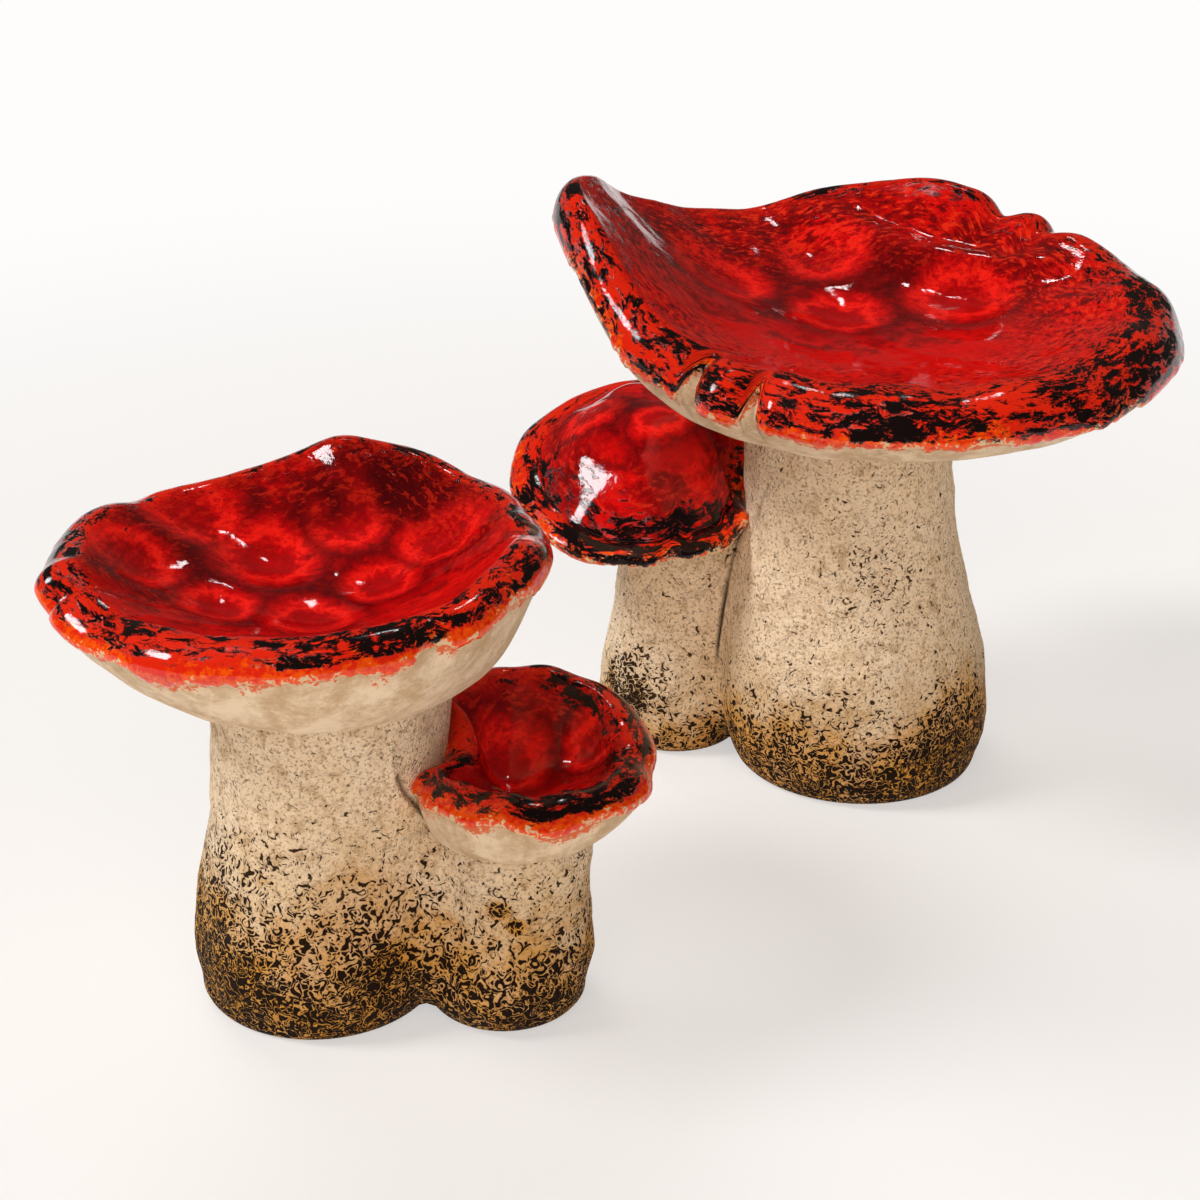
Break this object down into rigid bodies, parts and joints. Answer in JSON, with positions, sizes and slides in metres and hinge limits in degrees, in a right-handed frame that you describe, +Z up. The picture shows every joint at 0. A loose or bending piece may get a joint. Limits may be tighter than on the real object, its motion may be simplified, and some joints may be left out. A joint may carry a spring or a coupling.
{
  "type": "ceramic mushroom ornament",
  "caption": "Free-standing glazed ceramic mushroom ornaments, low and tall, with wavy dished caps on hollow speckled stems and a smaller mushroom luted to each side.",
  "frame": {"origin": "on the standing surface, below the middle of the pair's bounding box", "axes": "+Z up, +X to the right and +Y away from the viewer of the low ornament's front"},
  "size_m": [0.3597, 0.3356, 0.2137],
  "materials": {
    "red_glaze": "thick glossy red glaze, black mottling along the lip",
    "cap_clay": "bare cream clay, matt",
    "stem_clay": "matt beige clay with dark pits, brown at the foot",
    "slip": "fired joining slip, matt"
  },
  "bodies": {
    "tall_ornament": {"tall_main_stem": "stem_clay", "tall_main_slip": "slip", "tall_main_cap": "cap_clay", "tall_main_glaze": "red_glaze", "tall_side_stem": "stem_clay", "tall_side_slip": "slip", "tall_side_cap": "cap_clay", "tall_side_glaze": "red_glaze", "tall_stem_seam": "slip", "tall_cap_seam": "slip"},
    "low_ornament": {"low_main_stem": "stem_clay", "low_main_slip": "slip", "low_main_cap": "cap_clay", "low_main_glaze": "red_glaze", "low_side_stem": "stem_clay", "low_side_slip": "slip", "low_side_cap": "cap_clay", "low_side_glaze": "red_glaze", "low_stem_seam": "slip", "low_cap_seam": "slip"}
  },
  "joints": [
    {"name": "low_ornament_lift", "type": "slide", "parent": "tall_ornament", "child": "low_ornament", "axis": [0, 0, 1], "range_m": [0, 0.25]}
  ]
}
